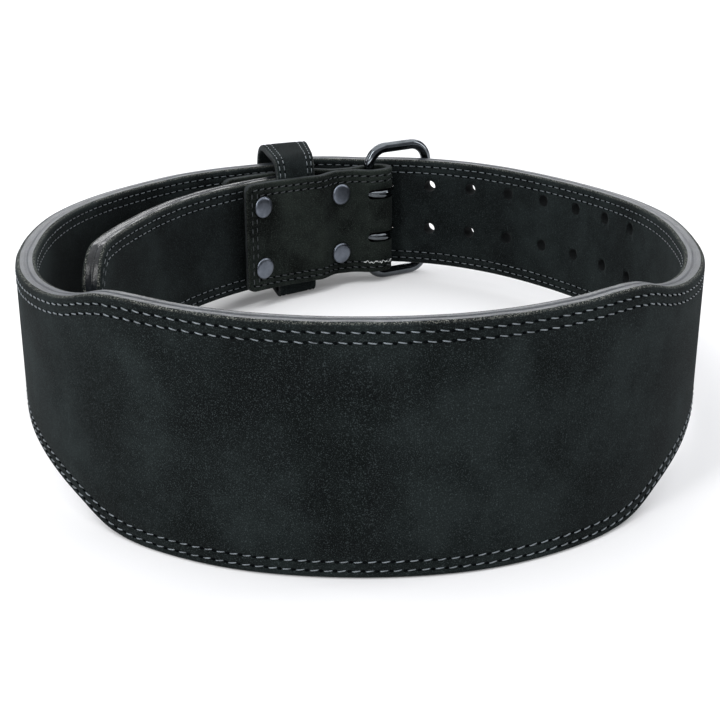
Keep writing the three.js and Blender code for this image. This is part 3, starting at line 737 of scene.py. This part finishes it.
strapEnd = strapLine.length
fan = buckleStrap["corner"] * (1 - np.cos(np.radians(np.linspace(6, 90, 16))))
stations = np.concatenate([np.arange(buckleStrap["start"], strapEnd - buckleStrap["corner"], 2.2),
                           (strapEnd - fan)[::-1]])
half = buckleStrap["width"] / 2 - cornerLoss(strapEnd - stations, buckleStrap["corner"])
strap = buildStrap("buckle_strap", stations, strapLine.at, strapHeight(stations), half, belt["thickness"],
                   buckleStrap["stitchRows"], [suedeLeather, polishedEdge])
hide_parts("buckle_strap_outer_layer", "buckle_strap_inner_layer")
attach(strap, "root")
for side in (1, -1):
    for row in buckleStrap["stitchRows"]:
        outline = roundedEnd(buckleStrap["start"] + 2, strapEnd, strapHeight,
                             lambda s: np.full(np.shape(s), buckleStrap["width"] / 2), row,
                             buckleStrap["corner"])
        sewRow(outline, buckleStrap["stitchPitch"], strapLine.at,
               lambda s: np.full(len(s), side * halfThick), side)
print("buckle strap made")


# the folded leather round the heel bar

def chapeLine():
    # middle of the leather: along the front leaf to the fold, half round, and back along the other leaf
    distance = np.linspace(-chape["foldSlack"], chape["reach"], 80)
    place, along, out = strapLine.at(distance)
    front = (place - out * frontLeafOffset(distance)[:, None])[::-1]
    back = place + out * leafOffset(distance)[:, None]
    bendPlace, bendAlong, bendOut = strapLine.at(np.array(-chape["foldSlack"]))
    turn = np.radians(np.linspace(-90, 90, 22)[1:-1])
    fold = (bendPlace - bendAlong * foldRadius * np.cos(turn)[:, None]
            + bendOut * foldRadius * np.sin(turn)[:, None])
    points = np.concatenate([front, fold, back])
    heights = leafHeight(np.concatenate([distance[::-1], np.zeros(len(fold)), distance]))
    length = np.concatenate([[0], np.cumsum(np.linalg.norm(np.diff(points, axis=0), axis=1))])
    return points, heights, length


chapePoints, chapeHeights, chapeLength = chapeLine()


def chapeFrame(s):
    def read(at):
        return np.stack([np.interp(at, chapeLength, chapePoints[:, k]) for k in (0, 1)], -1)
    s = np.asarray(s, dtype=float)
    along = read(np.minimum(s + 0.9, chapeLength[-1])) - read(np.maximum(s - 0.9, 0))
    along /= np.linalg.norm(along, axis=-1, keepdims=True)
    return read(s), along, np.stack([along[..., 1], -along[..., 0]], -1)


def chapeMiddle(s):
    return np.interp(s, chapeLength, chapeHeights)


def chapeHalf(s):
    return np.full(np.shape(s), chape["height"] / 2)


total = chapeLength[-1]
fan = chape["corner"] * (1 - np.cos(np.radians(np.linspace(6, 90, 9))))
stations = np.concatenate([fan, np.arange(chape["corner"] + 1.2, total - chape["corner"] - 0.6, 1.2),
                           (total - fan)[::-1]])
half = chape["height"] / 2 - cornerLoss(np.minimum(stations, total - stations), chape["corner"])
fold = buildStrap("chape", stations, chapeFrame, chapeMiddle(stations), half, chape["thickness"],
                  chape["stitchRows"], [oliveLeather, rawEdge], seam=False, wobble=0.08)
upperProng, lowerProng = (holeCentres[i][2] - buckle["prongSag"] for i in (0, 1))
slotPlace, slotAlong, slotOut = strapLine.at(np.array(0.0))
slotLength = chape["slotReach"] + chape["foldSlack"] + foldRadius + chape["thickness"]


def slotCutter(height):
    # a bar with a rounded blind end, through the fold: an outline of (along, height) pushed through
    radius = chape["slotHeight"] / 2
    turn = np.radians(np.linspace(-90, 90, 13))
    outline = [(chape["slotReach"] - radius + radius * math.cos(a), radius * math.sin(a)) for a in turn]
    outline += [(chape["slotReach"] - slotLength, radius), (chape["slotReach"] - slotLength, -radius)]
    outline = np.array(outline)
    count = len(outline)
    rings = []
    for spread in (-3 * foldRadius, 3 * foldRadius):
        plan = slotPlace + slotAlong * outline[:, :1] + slotOut * spread
        rings.append(np.concatenate([plan, outline[:, 1:] + height], -1))
    j = np.arange(count)
    k = (j + 1) % count
    walls = [[a, b, b + count, a + count] for a, b in zip(j.tolist(), k.tolist())]
    points = np.concatenate(rings)
    mesh = bpy.data.meshes.new("slot")
    mesh.from_pydata((points * mm).tolist(), [], walls + [j[::-1].tolist(), (j + count).tolist()])
    # the slot's walls take the near-black hole material: painted shade inside the slot
    mesh.materials.append(holeShade)
    mesh.update()
    piece = bpy.data.objects.new("slot", mesh)
    bpy.context.collection.objects.link(piece)
    return facesOut(piece)


for height in (upperProng, lowerProng):
    punchHoles(fold, slotCutter(height))
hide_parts("chape")
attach(fold, "root")
for row in chape["stitchRows"]:
    outline = roundedEnd(0, total * 0.5 + 3, lambda s: chapeMiddle(total * 0.5 + 3 - np.asarray(s)),
                         chapeHalf, row,
                         chape["corner"])
    outline[:, 0] = total * 0.5 + 3 - outline[:, 0]
    sewRow(outline, chape["stitchPitch"], chapeFrame, lambda s: np.full(len(s), chape["thickness"] / 2), 1,
           darkStitches)
    outline = roundedEnd(total * 0.5 + 3, total, chapeMiddle, chapeHalf, row, chape["corner"])
    sewRow(outline, chape["stitchPitch"], chapeFrame, lambda s: np.full(len(s), chape["thickness"] / 2), 1,
           darkStitches)
print("chape made")


# the keeper

def keeperMesh():
    # a ring of rounded corners, drawn in the plane of each slice and carried across the width
    half = keeper["width"] / 2
    cut = np.array([0, 0.35, 0.9, 1.4, 1.9, 2.4, 2.9, 3.4, 4.6, 5.1, 5.6, 6.1, 6.6, 9])
    sink = np.array([0.75, 0.32, 0.05, 0, 0.14, 0.26, 0.14, 0, 0, 0.14, 0.26, 0.14, 0, 0])
    across = np.concatenate([cut - half, half - cut[::-1]])
    sinks = np.concatenate([sink, sink[::-1]])
    fromEdge = np.concatenate([cut, cut[::-1]])
    frontOffset = halfThick + buckle["fit"] + keeper["thickness"]
    backOffset = endOffset + halfThick + keeper["room"] + keeper["thickness"]
    place, along, out = strapLine.at(keeper["frontAt"] + across)
    front = place - out * frontOffset
    place, along, out = loop.at(buckleStation + keeper["backPast"] + across)
    back = place + out * backOffset
    depth = np.linalg.norm(back - front, axis=1)
    direction = (back - front) / depth[:, None]

    backStation = buckleStation + keeper["backPast"]
    backTop = float(beltMiddle(backStation) + beltHalf(backStation))
    backTop += keeper["backRise"]
    frontTop = float(strapHeight(keeper["frontAt"])) + buckleStrap["width"] / 2 + keeper["frontRise"]

    def ring(depthValue, deep):
        corners = [(deep, deep, keeper["footCorner"] - deep),
                   (depthValue - deep, deep, keeper["footCorner"] - deep),
                   (depthValue - deep, backTop - deep, keeper["backCorner"] - deep),
                   (deep, frontTop - deep, keeper["frontCorner"] - deep)]
        outline = []
        for i, (x, z, radius) in enumerate(corners):
            here = np.array([x, z])
            before = np.array(corners[i - 1][:2]) - here
            after = np.array(corners[(i + 1) % 4][:2]) - here
            a = here + before / np.linalg.norm(before) * radius
            b = here + after / np.linalg.norm(after) * radius
            t = np.linspace(0, 1, 12)[:, None]
            outline.append((1 - t) ** 2 * a + 2 * t * (1 - t) * here + t * t * b)
            nextRadius = corners[(i + 1) % 4][2]
            stop = here + after - after / np.linalg.norm(after) * nextRadius
            outline.append(b + (stop - b) * np.linspace(0, 1, 10)[1:-1, None])
        return np.concatenate(outline)

    outer = np.stack([ring(d, s) for d, s in zip(depth, sinks)])
    inner = np.stack([ring(d, keeper["thickness"] - min(s, 0.5) * 0.6) for d, s in zip(depth, sinks)])[::-1]
    both = np.concatenate([outer, inner])
    plan = np.concatenate([front, front[::-1]])[:, None, :] + both[..., :1] * np.concatenate(
        [direction, direction[::-1]])[:, None, :]
    points = np.concatenate([plan, both[..., 1:]], -1).transpose(1, 0, 2)
    rows, columns = points.shape[:2]
    faces = gridFaces(rows, columns, True, True)
    distance = np.concatenate([fromEdge, fromEdge[::-1]])
    edge = distance < 0.5
    kinds = (edge & np.roll(edge, -1)).astype(int)[None].repeat(rows, 0).ravel()
    uv = np.stack([np.zeros((rows, columns)), np.broadcast_to(distance, (rows, columns))], -1) * mm
    return points.reshape(-1, 3), faces, kinds, uv.reshape(-1, 2), across, outer, front, direction


points, faces, kinds, uv, keeperAcross, keeperOuter, keeperFront, keeperDirection = keeperMesh()
ringPiece = facesOut(meshObject("keeper", points, faces, [suedeLeather, rawEdge], kinds, uv))
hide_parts("keeper")
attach(ringPiece, "root")

for edgeSide in (-1, 1):
    for row in keeper["stitchRows"]:
        at = edgeSide * (keeper["width"] / 2 - row)
        index = int(np.abs(keeperAcross - at).argmin())
        outline = keeperOuter[index]
        closed = np.concatenate([outline, outline[:1]])
        for half, store in ((0.5, stitches), (0.0, pits)):
            here, direction, step = walkOutline(closed, keeper["stitchPitch"], half)
            above = here[:, 1] > 2.2 * keeper["footCorner"]
            here, direction = here[above], direction[above]
            plan = keeperFront[index] + here[:, :1] * keeperDirection[index]
            point = np.concatenate([plan, here[:, 1:]], -1)
            tangent = np.concatenate([direction[:, :1] * keeperDirection[index], direction[:, 1:]], -1)
            turned = np.stack([direction[:, 1], -direction[:, 0]], -1)
            normal = np.concatenate([turned[:, :1] * keeperDirection[index], turned[:, 1:]], -1)
            store["places"].append(point)
            store["alongs"].append(tangent)
            store["outs"].append(normal)
            if store is stitches:
                store["lengths"].append(np.full(len(here), step * 0.34))
                store["widths"].append(np.full(len(here), 0.46))
print("keeper made")

sewing = []
for name, threads, material in (("stitches", stitches, nylonThread),
                                ("fold_stitches", darkStitches, blackThread)):
    gather = {key: np.concatenate(value) for key, value in threads.items()}
    scales = np.stack([gather["lengths"], gather["widths"], gather["widths"]], -1)[:, None, :]
    sewing.append(scatter(name, stitchTemplate(), scales, gather["places"], gather["alongs"],
                          gather["outs"], material))
pitGather = {key: np.concatenate(value) for key, value in pits.items()}
holesPiece = scatter("needle_holes", pitTemplate(), np.array([[[0.85, 0.55, 1.0]]]),
                     pitGather["places"] + pitGather["outs"] * 0.08, pitGather["alongs"],
                      pitGather["outs"], holeShade)
for piece in (*sewing, holesPiece):
    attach(piece, "root")
print("stitches:", len(gather["lengths"]))


# metal

def wireMesh(path, radius, closed, upright, sides=20):
    # a circle carried along a path: rings stand square to it; radius is one number or one per point
    path = np.asarray(path, dtype=float)
    ahead = np.roll(path, -1, 0) if closed else np.concatenate([path[1:], path[-1:]])
    behind = np.roll(path, 1, 0) if closed else np.concatenate([path[:1], path[:-1]])
    along = ahead - behind
    along /= np.linalg.norm(along, axis=1, keepdims=True)
    across = np.cross(upright, along)
    across /= np.linalg.norm(across, axis=1, keepdims=True)
    up = np.cross(along, across)
    angle = 2 * math.pi * np.arange(sides) / sides
    radii = np.broadcast_to(radius, (len(path),))[:, None, None]
    spokes = across[:, None, :] * np.cos(angle)[None, :, None] + up[:, None, :] * np.sin(angle)[None, :, None]
    points = path[:, None, :] + radii * spokes
    faces = gridFaces(len(path), sides, closed, True)
    if not closed:
        faces = capped(faces, len(path), sides)
    return points.reshape(-1, 3), faces


def farBarPlace():
    low, high = buckleStation - 2 * buckle["frameSpacing"], buckleStation
    for _ in range(40):
        middle = (low + high) / 2
        place, along, out = loop.at(middle)
        offset = float(endShift(middle)) + halfThick + buckle["frameLift"] + buckle["wire"] / 2
        spot = place + out * offset
        if np.linalg.norm(spot - heel) < buckle["frameSpacing"]:
            high = middle
        else:
            low = middle
    return spot


farBar = farBarPlace()
frameAlong = (farBar - heel) / np.linalg.norm(farBar - heel)
frameOut = np.array([-frameAlong[1], frameAlong[0]])
radius = buckle["wire"] / 2
corner = buckle["frameCorner"]
path = []
for cx, cz, turn in ((corner, radius + corner, 180), (buckle["frameSpacing"] - corner, radius + corner, 270),
                     (buckle["frameSpacing"] - corner, buckle["frameHeight"] - radius - corner, 0),
                     (corner, buckle["frameHeight"] - radius - corner, 90)):
    a = np.radians(turn + np.linspace(0, 90, 14))
    path.append(np.stack([cx + corner * np.cos(a), cz + corner * np.sin(a)], -1))
path = np.concatenate(path)
path3 = np.concatenate([heel + path[:, :1] * frameAlong, path[:, 1:]], -1)
upright = np.array([frameOut[0], frameOut[1], 0.0])
points, faces = wireMesh(path3, radius, True, upright, 28)
frameWire = facesOut(meshObject("buckle_wire_frame", points, faces, [platedWire]))
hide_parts("buckle_frame")
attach(frameWire, "root")

hook = radius + buckle["fit"] + buckle["prong"] / 2
right = -heelAlong
firstPlace, firstAlong, firstOut = bandFrame(np.array(buckleStation - belt["firstHoleBeside"]))


def beside(across, outwards):
    return heel + right * across + heelOut * outwards


def outOfHole(amount):
    return firstPlace + firstOut * amount


rest = farBar + frameOut * hook
through = halfThick + buckle["prong"] / 2 + buckle["fit"]
leave = outOfHole(through + buckle["prong"] / 2)
prongPoints = [beside(hook * math.cos(math.radians(t)), hook * math.sin(math.radians(t)))
               for t in (-105, -80)]
prongPoints += [beside(belt["firstHoleBeside"] * 0.6, -hook * 0.95),
                beside(belt["firstHoleBeside"] * 0.95, -hook * 0.4),
                outOfHole(-through), outOfHole(belt["thickness"] * 0.3), leave + (rest - leave) * 0.16,
                leave + (rest - leave) * 0.6 + frameOut * buckle["prong"] / 4, rest,
                rest + frameAlong * buckle["prongPast"]]
dense = smoothCurve(np.array(prongPoints), False, 10)
for name, height in (("prong_upper", upperProng), ("prong_lower", lowerProng)):
    spine = np.concatenate([dense, np.full((len(dense), 1), height)], -1)
    taper = np.full(len(spine), buckle["prong"] / 2)
    taper[-4:] *= [0.97, 0.86, 0.62, 0.3]
    taper[:3] *= [0.45, 0.85, 0.97]
    points, faces = wireMesh(spine, taper, False, np.array([0, 0, 1.0]), 20)
    piece = facesOut(meshObject(name + "_wire", points, faces, [platedWire]))
    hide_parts(name)
    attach(piece, "root")

rivet = {"rows": 35.5, "right": 20.4, "left": 80.5, "cap": 12.3, "capHeight": 1.5, "shank": 4.2,
         "head": 8.4, "headHeight": 1.1}


def rivetProfile(stack):
    cap, shank, head = rivet["cap"] / 2, rivet["shank"] / 2, rivet["head"] / 2
    high = rivet["capHeight"]
    return np.array([
        (0, high), (cap * 0.45, high * 0.985), (cap * 0.72, high * 0.93), (cap * 0.84, high * 0.85),
        (cap * 0.93, high * 0.66), (cap * 0.985, high * 0.36), (cap, high * 0.12), (cap * 0.98, -0.12),
        (shank, -0.12), (shank, -stack + 0.1), (head * 0.98, -stack + 0.1), (head, -stack - 0.25),
        (head * 0.9, -stack - rivet["headHeight"] * 0.85), (head * 0.7, -stack - rivet["headHeight"]),
        (0, -stack - rivet["headHeight"] * 1.02)])


def latheMesh(profile, centre, axis, sides=40):
    # the profile turned round its axis; its first and last points close it on the axis
    up = np.array([0, 0, 1.0])
    across = np.cross(up, axis)
    angle = 2 * math.pi * np.arange(sides) / sides
    spoke = np.cos(angle)[:, None] * across + np.sin(angle)[:, None] * up
    body = profile[1:-1]
    points = centre + body[:, None, 1:] * axis + body[:, None, :1] * spoke[None]
    hubs = [centre + profile[0, 1] * axis, centre + profile[-1, 1] * axis]
    points = np.concatenate([points.reshape(-1, 3), hubs])
    faces = gridFaces(len(body), sides, False, True).tolist()
    topHub, lowHub = len(points) - 2, len(points) - 1
    base = (len(body) - 1) * sides
    faces += [[(j + 1) % sides, j, topHub] for j in range(sides)]
    faces += [[base + j, base + (j + 1) % sides, lowHub] for j in range(sides)]
    return points, faces


def latheObject(name, profile, centre, axis, material):
    points, faces = latheMesh(profile, centre, axis)
    mesh = bpy.data.meshes.new(name)
    mesh.from_pydata((points * mm).tolist(), [], faces)
    mesh.materials.append(material)
    mesh.polygons.foreach_set("use_smooth", np.ones(len(mesh.polygons), dtype=bool))
    mesh.update()
    piece = bpy.data.objects.new(name, mesh)
    bpy.context.collection.objects.link(piece)
    return facesOut(piece)


def leafFace(distance):
    place, along, out = strapLine.at(distance)
    return place - out * (frontLeafOffset(distance) + chape["thickness"] / 2)[..., None]


for side in ("right", "left"):
    # each cap lies flat across the leaf, which slopes a little under the right-hand ones
    distance = np.array(float(rivet[side]))
    rim = leafFace(distance + rivet["cap"] / 2 * np.array([-1, 1]))
    chord = (rim[1] - rim[0]) / np.linalg.norm(rim[1] - rim[0])
    axis = np.array([-chord[1], chord[0], 0.0])
    middle = rim.mean(0)
    stack = float(frontLeafOffset(distance) + leafOffset(distance)) + chape["thickness"]
    for row, sign in (("upper", 1), ("lower", -1)):
        height = float(leafHeight(distance)) + sign * rivet["rows"] / 2
        centre = np.array([middle[0], middle[1], height]) + axis * buckle["fit"]
        piece = latheObject("rivet_" + side + "_" + row + "_cap", rivetProfile(stack), centre, axis,
                            rivetNickel)
        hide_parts("rivet_" + side + "_" + row)
        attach(piece, "root")
print("metal made")


# a pale thread end, come loose along the sewing near the fold's lower corner

fromFold = np.linspace(6, 22.5, 110)
isFirstLeaf = chapeFrame(0.0)[0][1] < chapeFrame(total)[0][1]
onLeaf = total / 2 + (fromFold + 1.5) * (-1 if isFirstLeaf else 1)
place, along, out = chapeFrame(onLeaf)
sway = (0.4 * np.sin(fromFold * 1.3) + 0.45 * np.sin(fromFold * 3.1 + 1) * np.sin(fromFold * 0.4)
        + 0.06 * fromFold)
lift = chape["thickness"] / 2 + 0.3 + 0.25 * np.sin(fromFold * 2.6)
spine = np.concatenate([place + out * lift[:, None],
                        (chapeMiddle(onLeaf) - chape["height"] / 2 + 5.4 + sway)[:, None]], -1)
points, faces = wireMesh(spine, 0.24 + 0.1 * np.sin(fromFold * 2.1), False, np.array([0.0, 0.0, 1.0]), 8)
looseThread = facesOut(meshObject("loose_thread", points, faces, [whiteThread]))
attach(looseThread, "root")

# floor, light and camera

studio = {"floor": "#cfcfd0", "floorGlow": 0.14, "floorSize": 16.0, "world": "#f4f7ff", "worldStrength": 0.42}
floorMaterial, tree = newMaterial("white acrylic light table")
coordinate = addNode(tree, "ShaderNodeTexCoord")
grain = addNode(tree, "ShaderNodeTexNoise", {"Scale": 6.0, "Detail": 2.0}, {"Vector": (coordinate, "Object")})
ramp = addRamp(tree, grain, "Fac", [(0.3, linearColour(studio["floor"])), (0.7, linearColour("#d2d2d3"))])
finishMaterial(tree, addNode(tree, "ShaderNodeBsdfPrincipled",
                             {"Roughness": 0.9, "Specular IOR Level": 0.1,
                              "Emission Color": linearColour("#ffffff"),
                              "Emission Strength": studio["floorGlow"]}, {"Base Color": (ramp, "Color")}))
size = studio["floorSize"] * 1000 / 2
floorCorners = np.array([[-size, -size, 0], [size, -size, 0], [size, size, 0], [-size, size, 0.0]])
floor = meshObject("floor", floorCorners, np.array([[0, 1, 2, 3]]), [floorMaterial])

world = bpy.data.worlds.new("studio")
bpy.context.scene.world = world
world.use_nodes = True
world.node_tree.nodes["Background"].inputs["Color"].default_value = linearColour(studio["world"])
world.node_tree.nodes["Background"].inputs["Strength"].default_value = studio["worldStrength"]


def softbox(name, place, target, size, power):
    light = bpy.data.lights.new(name, "AREA")
    light.shape = "RECTANGLE"
    light.size, light.size_y = size
    light.energy = power
    lamp = bpy.data.objects.new(name, light)
    lamp.location = place
    lamp.rotation_euler = (Vector(target) - Vector(place)).to_track_quat("-Z", "Y").to_euler()
    bpy.context.collection.objects.link(lamp)
    return lamp


softbox("overhead", (0, 0.4, 2.6), (0, 0.4, 0), (4.4, 4.4), 108)
softbox("front_low", (-0.3, -2.2, 0.35), (0, 0, 0.05), (2.6, 0.6), 18)
softbox("left_strip", (-1.5, 0.2, 0.7), (0, 0, 0.05), (0.4, 1.2), 6)
softbox("right_strip", (1.5, 0.2, 0.7), (0, 0, 0.05), (0.4, 1.2), 8)
softbox("glint", (-0.7, -0.9, 1.2), (0, 0.1, 0.05), (0.25, 1.2), 14)
softbox("behind", (0, 3.2, 1.5), (0, 1.0, 0.0), (3.4, 0.8), 40)

camera = {"focalPixels": 1418.1, "pitch": 21.64, "place": (0.0, -466.3, 271.3)}
lens = bpy.data.cameras.new("camera")
lens.sensor_width = 36
lens.lens = camera["focalPixels"] / 720 * 36
viewer = bpy.data.objects.new("camera", lens)
viewer.location = ((camera["place"][0] + shift[0]) * mm, (camera["place"][1] + shift[1]) * mm,
                   camera["place"][2] * mm)
viewer.rotation_euler = (math.radians(90 - camera["pitch"]), 0, 0)
bpy.context.collection.objects.link(viewer)
bpy.context.scene.camera = viewer
bpy.context.scene.view_settings.view_transform = "Standard"
